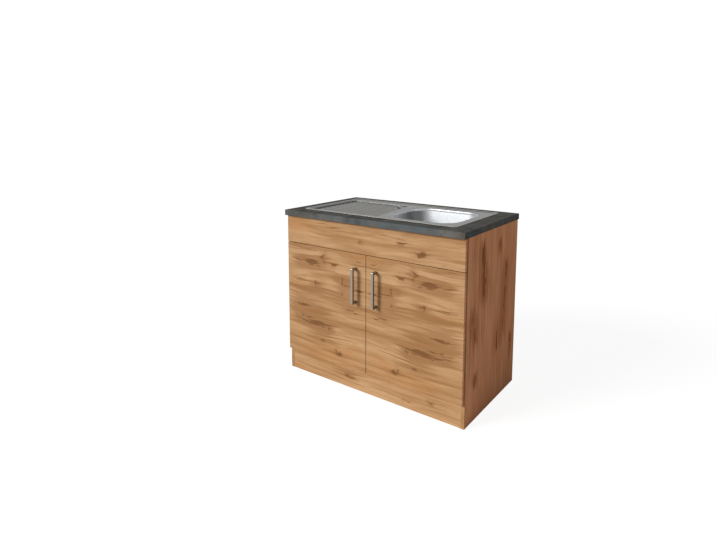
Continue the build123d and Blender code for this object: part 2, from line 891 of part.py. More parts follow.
def waste_pan():
    """The strainer pan: a flange on the bowl's floor and a cup with drain holes in its bottom."""
    top = bowl_floor + pan_sheet
    low = bowl_floor - pan_depth
    hollow = pan_radius - pan_sheet
    pan = turned(
        [
            (waste_screw_radius + bore_clearance, low),
            (waste_screw_radius + bore_clearance, low - pan_sheet),
            (pan_radius, low - pan_sheet),
            (pan_radius, bowl_floor),
            (waste_flange_radius, bowl_floor),
            (hollow + 2 * pan_sheet, top),
            (hollow, bowl_floor - pan_sheet),
            (hollow, low),
        ],
        bowl_x,
        bowl_y,
    )
    for index in range(drain_hole_count):
        turn = math.tau * index / drain_hole_count
        x = bowl_x + drain_hole_circle * math.cos(turn)
        y = bowl_y + drain_hole_circle * math.sin(turn)
        pan -= rod((x, y, low), (0, 0, -1), drain_hole_radius, pan_sheet)
    return pan


def waste_gasket():
    under = bowl_floor - sheet
    start = (bowl_x, bowl_y, under)
    ring = rod(start, (0, 0, -1), waste_flange_radius, gasket_thickness)
    return ring - rod(start, (0, 0, -1), waste_hole_radius, gasket_thickness)


def waste_body():
    """The moulded body under the bowl: collar, shoulder, cone, outlet and a hub on three spokes."""
    top = bowl_floor - sheet - gasket_thickness
    shoulder = top - waste_shoulder
    neck = shoulder - waste_cone
    end = neck - outlet_length
    body = turned(
        [
            (waste_hole_radius, top),
            (waste_flange_radius, top),
            (waste_flange_radius, top - waste_collar),
            (waste_body_radius, top - waste_collar),
            (waste_body_radius, shoulder),
            (outlet_radius + waste_wall, neck),
            (outlet_radius, neck),
            (outlet_radius, end),
            (outlet_radius - waste_wall, end),
            (outlet_radius - waste_wall, neck),
            (waste_body_radius - waste_wall, shoulder),
            (waste_body_radius - waste_wall, top - waste_collar),
        ],
        bowl_x,
        bowl_y,
    )
    hub_top = bowl_floor - pan_depth - pan_sheet
    hub = rod((bowl_x, bowl_y, hub_top), (0, 0, -1), hub_radius, waste_screw_length)
    reach = waste_body_radius - waste_wall / 2
    for index in range(3):
        spoke = block(
            (0, reach), (-spoke_width / 2, spoke_width / 2), (-waste_screw_length / 2, -spoke_width)
        )
        hub += Pos(bowl_x, bowl_y, hub_top) * (Rot(0, 0, 120 * index) * spoke)
    body += hub
    bore = waste_screw_radius + bore_clearance
    return body - rod((bowl_x, bowl_y, hub_top), (0, 0, -1), bore, waste_screw_length)


def waste_screw():
    return screw(
        (bowl_x, bowl_y, bowl_floor - pan_depth),
        (0, 0, -1),
        waste_screw_radius,
        pan_sheet + waste_screw_length - spoke_width,
        waste_screw_head_radius,
        waste_screw_head_height,
    )


def strainer_basket():
    """The lift-out basket: a dished strainer with a stem and a knob."""
    low = bowl_floor - pan_depth + basket_seal_thickness
    high = low + basket_height
    basket = turned(
        [
            (0, low),
            (basket_seal_outer - basket_sheet, low),
            (basket_radius, high),
            (basket_radius - basket_sheet, high),
            (basket_seal_outer - 2 * basket_sheet, low + basket_sheet),
            (stem_radius, low + basket_sheet),
            (stem_radius, high),
            (knob_radius, high + knob_height / 3),
            (knob_radius, high + 2 * knob_height / 3),
            (knob_radius / 2, high + knob_height),
            (0, high + knob_height),
        ],
        bowl_x,
        bowl_y,
    )
    for index in range(drain_hole_count):
        turn = math.tau * index / drain_hole_count
        x = bowl_x + drain_hole_circle * math.cos(turn)
        y = bowl_y + drain_hole_circle * math.sin(turn)
        basket -= rod((x, y, low), (0, 0, 1), drain_hole_radius / 2, basket_sheet)
    return basket


def strainer_seal():
    """Rubber ring under the basket, which shuts the drain holes when the basket is down."""
    start = (bowl_x, bowl_y, bowl_floor - pan_depth)
    ring = rod(start, (0, 0, 1), basket_seal_outer, basket_seal_thickness)
    return ring - rod(start, (0, 0, 1), basket_seal_inner, basket_seal_thickness)


def write(name, pieces):
    """One file for each named piece, or for a set of like pieces."""
    shape = Compound(children=list(pieces)) if isinstance(pieces, list) else pieces
    export_step(shape, os.path.join("parts", name + ".step"))


def write_pair(name, pieces):
    """The left-hand piece or set, and its mirror image on the right."""
    write(name + "_left", pieces)
    if isinstance(pieces, list):
        write(name + "_right", [mirrored(piece) for piece in pieces])
    else:
        write(name + "_right", mirrored(pieces))


def at_hinges(make):
    return [make(level) for level in hinge_levels]


os.makedirs("parts", exist_ok=True)

write("side_panel_left", side_panel(-1))
write("side_panel_right", side_panel(1))
write("bottom_shelf", bottom_shelf())
write("front_rail", front_rail())
write("mid_rail", mid_rail())
write("rear_rail_top", rear_rail("rear_rail_top", carcass_height - rear_rail_height))
write("rear_rail_bottom", rear_rail("rear_rail_bottom", shelf_top))
cams, cam_bolts = cam_set()
write("cams", cams)
write("cam_bolts", cam_bolts)
write("plinth_board", plinth_board())
write("plinth_brackets", plinth_brackets())
write("worktop_brackets", worktop_brackets())
write("false_front_brackets", false_front_brackets())
write("false_front_spacers", false_front_spacers())
write("false_drawer_front", false_drawer_front())
write("worktop", worktop())

write_pair("door", door())
write_pair("handle", handle())
write_pair("handle_screws", handle_screws())
write_pair("door_bumpers", door_bumpers())
write_pair("hinge_plates", at_hinges(hinge_plate))
write_pair("hinge_arms", at_hinges(hinge_arm))
write_pair("hinge_links", at_hinges(hinge_link))
write_pair("hinge_cups", at_hinges(hinge_cup))
write_pair("cup_screws", cup_screws())
write_pair("cup_pins", [pin(cup_pin_x, cup_pin_y, level) for level in hinge_levels])
write_pair("arm_pins", [pin(arm_pin_x, arm_pin_y, level) for level in hinge_levels])
write("hinge_screws", hinge_screws())

write("sink_top", sink_top())
write("sink_bowl", sink_bowl())
write("tap_ring", tap_ring())
write("sink_seal", sink_seal())
write("sink_clips", sink_clips())
write("waste_pan", waste_pan())
write("waste_gasket", waste_gasket())
write("waste_body", waste_body())
write("waste_screw", waste_screw())
write("strainer_basket", strainer_basket())
write("strainer_seal", strainer_seal())
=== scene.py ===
import bmesh
import bpy
import math
from mathutils import Matrix, Vector


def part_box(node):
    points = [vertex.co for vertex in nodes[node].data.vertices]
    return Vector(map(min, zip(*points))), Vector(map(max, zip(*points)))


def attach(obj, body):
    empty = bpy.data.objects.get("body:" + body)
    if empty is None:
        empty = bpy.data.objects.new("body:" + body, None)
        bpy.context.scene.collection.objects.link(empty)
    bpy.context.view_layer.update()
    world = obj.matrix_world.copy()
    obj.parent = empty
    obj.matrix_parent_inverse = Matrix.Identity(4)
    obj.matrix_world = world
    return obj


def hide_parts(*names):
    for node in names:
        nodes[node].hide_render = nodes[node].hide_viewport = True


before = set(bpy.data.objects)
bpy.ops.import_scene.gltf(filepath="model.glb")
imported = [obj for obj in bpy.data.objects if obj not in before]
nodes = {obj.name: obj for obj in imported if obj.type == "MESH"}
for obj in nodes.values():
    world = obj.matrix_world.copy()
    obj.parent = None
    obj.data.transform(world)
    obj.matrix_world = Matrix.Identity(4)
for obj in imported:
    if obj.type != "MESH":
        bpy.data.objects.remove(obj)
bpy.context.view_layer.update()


# Carcass boards. Two side panels, the bottom shelf and the rails are 16 mm chipboard faced with
# printed oak foil. They are cut square, edged, and drawn together by cam fittings. The grain
# stands upright on the side panels and runs along the shelf and rails.

def feed(tree, socket, value):
    """Gives a socket a value, or another node's output."""
    if isinstance(value, bpy.types.NodeSocket):
        tree.links.new(value, socket)
    else:
        socket.default_value = value


def add(tree, kind, inputs, **options):
    """A new node with its options set and its inputs fed."""
    made = tree.nodes.new(kind)
    for name, value in options.items():
        setattr(made, name, value)
    for name, value in inputs.items():
        feed(tree, made.inputs[name], value)
    return made


def number(tree, operation, *values):
    """One step of arithmetic."""
    made = tree.nodes.new("ShaderNodeMath")
    made.operation = operation
    for socket, value in zip(made.inputs, values):
        feed(tree, socket, value)
    return made.outputs[0]


def between(tree, value, low, high):
    """0 below low, 1 above high, with a smooth change from one to the other."""
    inputs = {"Value": value, "From Min": low, "From Max": high}
    return add(tree, "ShaderNodeMapRange", inputs, interpolation_type="SMOOTHSTEP").outputs[0]


def blended(tree, amount, first, second, blend="MIX"):
    """One colour over another."""
    made = tree.nodes.new("ShaderNodeMix")
    made.data_type = "RGBA"
    made.blend_type = blend
    feed(tree, made.inputs[0], amount)
    feed(tree, made.inputs[6], first)
    feed(tree, made.inputs[7], second)
    return made.outputs[2]


def covered(tree, colour, other, value, low, high, full):
    """A colour with another over it, which covers it by up to full as value goes from low to
    high."""
    share = number(tree, "MULTIPLY", between(tree, value, low, high), full)
    return blended(tree, share, colour, other)


def even_noise(tree, place, scale, detail, roughness=0.5):
    """Noise of one size in every direction; scale is cycles to the metre."""
    inputs = {"Vector": place, "Scale": scale, "Detail": detail, "Roughness": roughness}
    return add(tree, "ShaderNodeTexNoise", inputs).outputs["Fac"]


def grain_noise(tree, flat, along, across, detail):
    """Noise drawn out along the grain; along and across are cycles to the metre."""
    scaled = add(tree, "ShaderNodeMapping", {"Vector": flat, "Scale": (along, across, 1.0)})
    return even_noise(tree, scaled.outputs[0], 1.0, detail, 0.6)


def swung(tree, noise, gain, base=0.0):
    """base, raised and lowered by gain times how far the noise is from its middle."""
    return number(tree, "MULTIPLY_ADD", noise, gain, number(tree, "SUBTRACT", base, gain / 2))


def raised(tree, shader, height, strength, depth):
    """Gives a face a fine relief, with its depth in metres."""
    inputs = {"Height": height, "Strength": strength, "Distance": depth}
    feed(tree, shader.inputs["Normal"], add(tree, "ShaderNodeBump", inputs).outputs[0])


def start_material(name):
    """A new material with its node tree and its shader."""
    material = bpy.data.materials.new(name)
    material.use_nodes = True
    tree = material.node_tree
    return material, tree, tree.nodes["Principled BSDF"]


def finish_nodes(material, *names):
    """Gives CAD nodes a material in place of their plain one."""
    for name in names:
        for material_slot in nodes[name].material_slots:
            material_slot.material = material


oak_pale = (0.605, 0.370, 0.190, 1.0)
oak_middle = (0.475, 0.262, 0.118, 1.0)
oak_deep = (0.30, 0.138, 0.048, 1.0)
oak_knot = (0.185, 0.078, 0.025, 1.0)
oak_amber = (0.48, 0.228, 0.080, 1.0)
oak_mean = (0.450, 0.240, 0.106, 1.0)
chip_pale = (0.50, 0.36, 0.20, 1.0)
chip_dark = (0.25, 0.15, 0.075, 1.0)
face_skin = 0.0005
board_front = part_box("side_panel_left")[0][1] + face_skin
board_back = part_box("side_panel_left")[1][1] - face_skin
board_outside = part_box("side_panel_right")[1][0] - face_skin
# Painted shade: a warmer tone multiplied onto the right-hand faces, standing in for the shade on
# that side.
painted_side_shade = (1.56, 1.27, 1.40, 1.0)
plain_print = (1.0, 1.0, 1.0, 1.0)
painted_side_calm = 0.45  # share of the mean colour in the print on the faces with painted shade, which calms their figure

# Figure of the print: cycles to the metre along and across the grain, and detail.
wander_figure = (2.2, 5.0, 2.0)
ragged_figure = (22.0, 48.0, 3.0)
broad_figure = (2.4, 15.0, 2.0)
band_figure = (1.9, 36.0, 4.0)
streak_figure = (3.4, 95.0, 4.0)
stroke_figure = (7.0, 230.0, 3.0)
fibre_figure = (38.0, 620.0, 3.0)
pore_figure = (90.0, 2300.0, 1.0)
shade_figure = (1.7, 7.0, 1.0)
wander_width = 0.014  # how far the figure wanders across the grain
ragged_width = (0.10, 0.045)  # how far a knot's outline frays along and across the grain

# Layers of the print: noise at which each starts, noise at which it is full, and its cover then.
broad_range = (0.36, 0.64)
pore_range = (0.62, 0.72)
amber_cover = (0.50, 0.70, 0.55)
band_cover = (0.43, 0.76, 0.58)
streak_cover = (0.50, 0.70, 0.50)
stroke_cover = (0.53, 0.68, 0.34)
fibre_cover = (0.45, 0.75, 0.34)
halo_cover = (0.42, 0.95, 0.60)
stain_cover = (0.34, 0.98, 0.90)

# Knots. A knot's size is that of the stain that shows; its fields reach further.
core_spread = (650, 520)  # mm of a knot's size to the metre of its field, along and across
halo_spread = (330, 520)
knot_bend = 6800  # mm of a knot's size to the metre by which it bends the figure
stain_limit = 0.38  # where knots meet, the stain grows no darker than this
stain_gain = 2.4
halo_swing = (1.6, 1.4)  # how much the bands and the streaks break up the halo
stain_swing = (2.6, 1.8)  # how much the streaks and the strokes break up the stain
foil_rough = 0.46
foil_rough_spread = 0.16
pore_depth = 0.6  # as a share of the fibres' relief
foil_relief = (0.25, 0.0002)  # strength, and depth in metres
chip_rate = (260.0, 420.0, 420.0)  # chips to the metre


def chipboard(tree, place):
    """The raw edge of a board: pressed chips of two shades."""
    scaled = add(tree, "ShaderNodeMapping", {"Vector": place, "Scale": chip_rate})
    inputs = {"Vector": scaled.outputs[0], "Scale": 1.0, "Randomness": 1.0}
    chips = add(tree, "ShaderNodeTexVoronoi", inputs, feature="F1").outputs["Color"]
    shade = add(tree, "ShaderNodeSeparateColor", {"Color": chips}).outputs[0]
    return blended(tree, shade, chip_pale, chip_dark)


def oak(name, along, across, knots, mirrored=False, piece=0.0, painted_shade_tint=plain_print,
        outer=(board_outside, board_front), shine=0.15, raw_back=False):
    """Printed oak. Each knot is (along, across, half length, half height, tilt, strength) in mm.
    On the right-hand faces beyond outer, which is (side, front), the print carries painted shade:
    it is calmer there and multiplied by the given shade colour. A raw back is a back edge without
    a foil."""
    material, tree, shader = start_material(name)
    place = tree.nodes.new("ShaderNodeTexCoord").outputs["Object"]
    axes = add(tree, "ShaderNodeSeparateXYZ", {"Vector": place}).outputs
    run = number(tree, "ABSOLUTE", axes[along]) if mirrored else axes[along]
    inputs = {"X": run, "Y": axes[across], "Z": piece}
    flat = add(tree, "ShaderNodeCombineXYZ", inputs).outputs[0]

    # The figure wanders, and it bends round each knot.
    wander = number(tree, "SUBTRACT", grain_noise(tree, flat, *wander_figure), 0.5)
    ragged = number(tree, "SUBTRACT", grain_noise(tree, flat, *ragged_figure), 0.5)
    shift = add(tree, "ShaderNodeCombineXYZ", {
        "X": number(tree, "MULTIPLY", ragged, ragged_width[0]),
        "Y": number(tree, "MULTIPLY", ragged, ragged_width[1]),
    })
    ragged_place = add(tree, "ShaderNodeVectorMath", {0: flat, 1: shift.outputs[0]})
    figure = number(tree, "MULTIPLY_ADD", wander, wander_width, axes[across])
    stain = 0.0
    halo = 0.0
    for middle, level, half_length, half_height, tilt, strength in knots:
        placed_at = {
            "Location": (middle / 1000, level / 1000, piece),
            "Rotation": (0.0, 0.0, math.radians(tilt)),
        }
        core = {"Scale": (half_length / core_spread[0], half_height / core_spread[1], 1.0)}
        spot = add(tree, "ShaderNodeMapping", {
            "Vector": ragged_place.outputs[0], **placed_at, **core}, vector_type="TEXTURE")
        inputs = {"Vector": spot.outputs[0]}
        heart = add(tree, "ShaderNodeTexGradient", inputs, gradient_type="QUADRATIC_SPHERE")
        stain = number(tree, "MULTIPLY_ADD", heart.outputs["Fac"], strength, stain)
        reach = half_length + half_height
        swell = add(tree, "ShaderNodeMapping", {
            "Vector": flat, **placed_at,
            "Scale": (reach / halo_spread[0], reach / halo_spread[1], 1.0),
        }, vector_type="TEXTURE")
        inputs = {"Vector": swell.outputs[0]}
        bend = add(tree, "ShaderNodeTexGradient", inputs, gradient_type="QUADRATIC_SPHERE")
        halo = number(tree, "MULTIPLY_ADD", bend.outputs["Fac"], strength, halo)
        figure = number(tree, "MULTIPLY_ADD", bend.outputs["Fac"], reach / knot_bend, figure)
    inputs = {"X": run, "Y": figure, "Z": piece}
    grown = add(tree, "ShaderNodeCombineXYZ", inputs).outputs[0]

    broad = grain_noise(tree, grown, *broad_figure)
    band = grain_noise(tree, grown, *band_figure)
    streak = grain_noise(tree, grown, *streak_figure)
    stroke = grain_noise(tree, grown, *stroke_figure)
    fibre = grain_noise(tree, grown, *fibre_figure)
    pore = grain_noise(tree, grown, *pore_figure)
    shade = grain_noise(tree, grown, *shade_figure)

    colour = blended(tree, between(tree, broad, *broad_range), oak_pale, oak_middle)
    colour = covered(tree, colour, oak_amber, shade, *amber_cover)
    colour = covered(tree, colour, oak_deep, band, *band_cover)
    colour = covered(tree, colour, oak_deep, streak, *streak_cover)
    colour = covered(tree, colour, oak_deep, stroke, *stroke_cover)
    colour = covered(tree, colour, oak_deep, fibre, *fibre_cover)
    # Painted shade, first part: on the right-hand faces beyond outer the print is calmed towards
    # its mean colour.
    painted_shade_faces = number(tree, "GREATER_THAN", axes["X"], outer[0])
    painted_shade_faces = number(tree, "MULTIPLY", painted_shade_faces, number(tree, "GREATER_THAN", axes["Y"], outer[1]))
    colour = blended(tree, number(tree, "MULTIPLY", painted_shade_faces, painted_side_calm), colour, oak_mean)

    # Round each knot a brown halo follows the bands, and the stain itself follows the streaks.
    smoky = swung(tree, streak, halo_swing[1], swung(tree, band, halo_swing[0]))
    colour = covered(tree, colour, oak_deep, number(tree, "ADD", halo, smoky), *halo_cover)
    mottle = swung(tree, stroke, stain_swing[1], swung(tree, streak, stain_swing[0]))
    stain = number(tree, "MINIMUM", stain, stain_limit)
    stain = number(tree, "MULTIPLY_ADD", stain, stain_gain, mottle)
    colour = covered(tree, colour, oak_knot, stain, *stain_cover)
    # Painted shade, second part: the right-hand faces are multiplied by the shade colour.
    painted_shade_toning = blended(tree, painted_shade_faces, plain_print, painted_shade_tint)
    colour = blended(tree, 1.0, colour, painted_shade_toning, blend="MULTIPLY")
    if raw_back:
        raw = number(tree, "GREATER_THAN", axes["Y"], board_back)
        colour = blended(tree, raw, colour, chipboard(tree, place))
    feed(tree, shader.inputs["Base Color"], colour)

    rough = number(tree, "MULTIPLY_ADD", fibre, foil_rough_spread, foil_rough)
    feed(tree, shader.inputs["Roughness"], rough)
    shader.inputs["Specular IOR Level"].default_value = shine
    open_pore = number(tree, "MULTIPLY", between(tree, pore, *pore_range), pore_depth)
    raised(tree, shader, number(tree, "SUBTRACT", fibre, open_pore), *foil_relief)
    return material


side_oak = oak("side_oak", "Z", "Y", [
    (737, -110, 34, 12, 0, 1.3), (575, -90, 40, 14, 0, 1.4), (733, 82, 24, 12, 0, 1.3),
    (457, -203, 28, 10, 0, 1.5), (390, -170, 44, 11, 0, 1.5), (343, 137, 50, 9, 0, 0.9),
    (180, -163, 24, 11, 0, 1.8), (277, 70, 70, 9, 0, 0.9), (230, 242, 80, 8, 0, 0.9),
    (650, -93, 160, 16, 0, 0.7), (470, 150, 90, 10, 0, 1.0), (600, 160, 50, 9, 0, 1.0),
], piece=3.7, painted_shade_tint=painted_side_shade, shine=0.0, raw_back=True)
shelf_oak = oak("shelf_oak", "X", "Y", [(-210, 60, 30, 9, 8, 0.9)], piece=8.1, raw_back=True)
rail_oak = oak("rail_oak", "X", "Z", [(180, 790, 24, 6, -5, 0.8)], piece=5.3)
finish_nodes(side_oak, "side_panel_left", "side_panel_right")
finish_nodes(shelf_oak, "bottom_shelf", "mid_rail")
finish_nodes(rail_oak, "front_rail", "rear_rail_top", "rear_rail_bottom")


# Plinth board. A strip of the same faced board, which stands on the floor between the side panels
# and is held to the shelf by three brackets. Its grain runs along it.

plinth_oak = oak("plinth_oak", "X", "Z", [
    (-112, 53, 60, 6, -4, 0.9), (340, 63, 5, 18, 0, 1.0), (210, 30, 70, 5, 0, 0.4),
], piece=1.9)
finish_nodes(plinth_oak, "plinth_board")


# False drawer front. A fixed board with eased front edges, cut from the same printed oak as the
# doors, with its grain along it. Brackets and the screws through the front rail hold it.

# The right-hand ends of the false front and the doors carry the same painted shade as the side
# panel's outer face.
front_ends = (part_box("false_drawer_front")[1][0] - face_skin, -1.0)
false_front_oak = oak("false_front_oak", "X", "Z", [
    (-30, 737, 7, 13, 0, 1.0), (293, 727, 26, 16, 20, 0.8), (190, 763, 46, 6, 0, 0.7),
    (-260, 800, 90, 6, 0, 0.4), (60, 705, 80, 5, 0, 0.3),
], piece=2.6, painted_shade_tint=painted_side_shade, outer=front_ends)
finish_nodes(false_front_oak, "false_drawer_front")


# Doors. Two boards cut from one print and turned about, so that their figure mirrors across the
# gap between them. The grain lies level, and the front edges are eased.

door_oak = oak("door_oak", "X", "Z", [
    (330, 595, 52, 15, 8, 1.1), (253, 633, 28, 8, -58, 0.9), (187, 602, 26, 8, -28, 0.7),
    (143, 532, 9, 24, 0, 1.1), (85, 509, 95, 4, 2, 0.9), (139, 467, 4, 18, 0, 0.8),
    (299, 488, 14, 15, 0, 0.8), (394, 368, 62, 8, 0, 0.8), (345, 293, 165, 15, 2, 1.0),
    (370, 297, 24, 12, 0, 0.9), (277, 290, 20, 10, 0, 0.8), (227, 277, 16, 8, -30, 0.8),
    (270, 210, 45, 6, 0, 0.5), (167, 172, 18, 26, 20, 0.5), (43, 642, 50, 4, 8, 0.5),
    (425, 500, 80, 7, 0, 0.5), (90, 395, 100, 5, 0, 0.4), (420, 600, 60, 6, 0, 0.5),
], mirrored=True, piece=0.4, painted_shade_tint=painted_side_shade, outer=front_ends)
finish_nodes(door_oak, "door_left", "door_right")


# Worktop. Chipboard under a dark slate laminate that wraps over the eased front edge, 28 mm thick
# and 600 mm deep, with the sink's cut-out sawn through it. Brackets screwed from below hold it.

slate_dark = (0.080, 0.077, 0.069, 1.0)
slate_pale = (0.160, 0.153, 0.139, 1.0)
slate_blue = (0.100, 0.125, 0.140, 1.0)
slate_brown = (0.150, 0.112, 0.080, 1.0)
backing_brown = (0.20, 0.12, 0.07, 1.0)
worktop_low, worktop_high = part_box("worktop")

# Figure and layers of the laminate's print, as for the oak.
cloud_figure = (13.0, 5.0, 0.65)
patch_figure = (19.0, 4.0)
blotch_figure = (17.0, 26.0, 4.0)
speck_figure = (420.0, 3.0)
cloud_range = (0.35, 0.68)
blue_cover = (0.46, 0.66, 0.8)
brown_cover = (0.52, 0.70, 0.8)
speck_cover = (0.45, 0.7, 0.30)
slate_rough = 0.60
slate_rough_spread = 0.2
slate_swell = 2.0  # relief of the clouds, as a share of the speckle's
slate_relief = (0.3, 0.0003)


def slate():
    """Printed slate: dark clouds with blue and brown patches and a fine speckle."""
    material, tree, shader = start_material("slate_laminate")
    place = tree.nodes.new("ShaderNodeTexCoord").outputs["Object"]
    axes = add(tree, "ShaderNodeSeparateXYZ", {"Vector": place}).outputs
    cloud = even_noise(tree, place, *cloud_figure)
    patch = even_noise(tree, place, *patch_figure)
    blotch = grain_noise(tree, place, *blotch_figure)
    speck = even_noise(tree, place, *speck_figure)
    colour = blended(tree, between(tree, cloud, *cloud_range), slate_dark, slate_pale)
    colour = covered(tree, colour, slate_blue, patch, *blue_cover)
    colour = covered(tree, colour, slate_brown, blotch, *brown_cover)
    colour = covered(tree, colour, slate_pale, speck, *speck_cover)
    under = number(tree, "LESS_THAN", axes["Z"], worktop_low[2] + face_skin)
    colour = blended(tree, under, colour, backing_brown)
    behind = number(tree, "GREATER_THAN", axes["Y"], worktop_high[1] - face_skin)
    colour = blended(tree, behind, colour, chipboard(tree, place))
    feed(tree, shader.inputs["Base Color"], colour)
    rough = number(tree, "MULTIPLY_ADD", speck, slate_rough_spread, slate_rough)
    feed(tree, shader.inputs["Roughness"], rough)
    shader.inputs["Specular IOR Level"].default_value = 0.0
    relief = number(tree, "MULTIPLY_ADD", cloud, slate_swell, speck)
    raised(tree, shader, relief, *slate_relief)
    return material


finish_nodes(slate(), "worktop")


# Fittings. Cam bolts, brackets and clips are zinc plated steel and the cup hinges nickel plated.
# Seals and spacers are black rubber, the door bumpers clear soft plastic and the waste's body is
# moulded. They are screwed, clipped or pressed in place.

black = (0.0, 0.0, 0.0, 1.0)
corner_shade_reach = 0.012  # how near other faces must come for painted shade in a corner
corner_shade_share = 0.2  # brightness of the painted shade in a full corner, as a share of the metal's
wear = 0.2  # how much darker the metal's dull strokes are
rough_spread = 0.14
stroke_look = (3.0, 0.7)  # detail and roughness of the strokes' noise
tarnish_figure = (30.0, 3.0)
brushed_relief = (0.12, 0.0001)
soft_wear = 0.85  # brightness of the plastic's cloudy spots, as a share of the rest
soft_rough_spread = 0.12
skin_figure = (900.0, 2.0)
mist_figure = (25.0, 2.0)
skin_relief = (0.15, 0.0001)


def metal(name, colour, roughness, brush, metallic=1.0, painted_crease_shade=0.0, region=None):
    """Brushed metal. brush is the (x, y, z) count of strokes to the metre. The shade for creases
    is painted shade: how much darker the inner corners are painted, where shade falls. region
    gives, from the tree and a place, how far another colour comes in, and that colour."""
    material, tree, shader = start_material(name)
    place = tree.nodes.new("ShaderNodeTexCoord").outputs["Object"]
    scaled = add(tree, "ShaderNodeMapping", {"Vector": place, "Scale": brush}).outputs[0]
    stroke = even_noise(tree, scaled, 1.0, *stroke_look)
    tarnish = even_noise(tree, place, *tarnish_figure)
    shown = colour
    # Painted shade: the more other faces close round a point, the darker its colour.
    if painted_crease_shade:
        open_sky = add(tree, "ShaderNodeAmbientOcclusion", {"Distance": corner_shade_reach},
                       samples=8, only_local=True).outputs["AO"]
        corner = number(tree, "MULTIPLY", number(tree, "SUBTRACT", 1.0, open_sky), painted_crease_shade)
        corner_shade_colour = tuple(part * corner_shade_share for part in colour[:3]) + (1.0,)
        shown = blended(tree, between(tree, corner, 0.0, 1.0), shown, corner_shade_colour)
    if region:
        amount, other = region(tree, place)
        shown = blended(tree, amount, shown, other)
    mixed = number(tree, "MULTIPLY", number(tree, "ADD", stroke, tarnish), 0.5)
    worn = blended(tree, wear, shown, black)
    feed(tree, shader.inputs["Base Color"], blended(tree, mixed, shown, worn))
    shader.inputs["Metallic"].default_value = metallic
    shader.inputs["Specular IOR Level"].default_value = 0.0
    rough = number(tree, "MULTIPLY_ADD", stroke, rough_spread, roughness - rough_spread / 2)
    feed(tree, shader.inputs["Roughness"], rough)
    raised(tree, shader, stroke, *brushed_relief)
    return material


def soft(name, colour, roughness):
    """Moulded plastic or rubber with a slight cloudiness and a fine skin."""
    material, tree, shader = start_material(name)
    place = tree.nodes.new("ShaderNodeTexCoord").outputs["Object"]
    skin = even_noise(tree, place, *skin_figure)
    mist = even_noise(tree, place, *mist_figure)
    worn = tuple(part * soft_wear for part in colour[:3]) + (1.0,)
    feed(tree, shader.inputs["Base Color"], blended(tree, mist, colour, worn))
    rough = number(tree, "MULTIPLY_ADD", skin, soft_rough_spread, roughness)
    feed(tree, shader.inputs["Roughness"], rough)
    raised(tree, shader, skin, *skin_relief)
    return material


zinc = metal("zinc_plate", (0.62, 0.63, 0.64, 1.0), roughness=0.34, brush=(300.0, 300.0, 300.0))
nickel = metal("nickel_plate", (0.60, 0.59, 0.57, 1.0), roughness=0.24,
               brush=(200.0, 200.0, 200.0))
black_rubber = soft("black_rubber", (0.02, 0.02, 0.021, 1.0), roughness=0.6)
clear_soft = soft("clear_soft", (0.70, 0.70, 0.67, 1.0), roughness=0.3)
white_plastic = soft("white_plastic", (0.78, 0.78, 0.76, 1.0), roughness=0.35)
finish_nodes(zinc, "cam_bolts", "plinth_brackets", "worktop_brackets",
             "false_front_brackets", "sink_clips", "tap_ring")
for side in ("left", "right"):
    for kind in ("hinge_plates", "hinge_arms", "hinge_links", "hinge_cups", "cup_pins",
                 "arm_pins"):
        finish_nodes(nickel, f"{kind}_{side}")
    finish_nodes(clear_soft, f"door_bumpers_{side}")
finish_nodes(black_rubber, "sink_seal", "waste_gasket", "strainer_seal", "false_front_spacers")
finish_nodes(white_plastic, "waste_body")


# Screws and cams. Each kind is one turned piece with a cross recess in its head: screws of plated
# steel, driven into the boards, and cams of die-cast zinc in blind bores, hollow behind the face.
# One piece of each kind is drawn and then set in every place.

foot_reach, foot_half = 0.55, 0.60  # a cross recess at its foot, as shares of its mouth
dome = ((0.60, 0.0), (0.80, 0.12), (0.94, 0.36), (1.0, 0.72), (1.0, 1.0))  # shares of a head
screw_recess = (0.45, 0.09)  # reach and half width of its recess, as shares of the head's radius
screw_recess_depth = 0.7  # as a share of the head's rise
thread_root = 0.78  # as a share of the shank's radius, like the three below
thread_pitch = 0.5
screw_neck = 0.85
screw_point = 0.45
thread_slope = 0.25  # from root to crest, as a share of the pitch
edge_turn = 35  # degrees at which a fold is left sharp


def outline_ring(shape, places):
    """A ring of points, not yet joined."""
    return [shape.verts.new(place) for place in places]


def turned_ring(shape, radius, level, count=32):
    """A ring about the middle."""
    turns = [math.tau * step / count for step in range(count)]
    return outline_ring(shape, [
        (radius * math.cos(turn), radius * math.sin(turn), level) for turn in turns])


def cross_ring(shape, reach, half, level):
    """Outline of a cross recess: four arms, each with the two points of its end and a corner."""
    places = []
    for step in range(4):
        turn = Matrix.Rotation(math.pi / 2 * step, 3, "Z")
        for along, aside in ((reach, -half), (reach, half), (half, half)):
            places.append(turn @ Vector((along, aside, level)))
    return outline_ring(shape, places)


def wall_between(shape, first, second):
    """A band of faces between two closed rings of as many points."""
    for step in range(len(first)):
        shape.faces.new((first[step - 1], second[step - 1], second[step], first[step]))


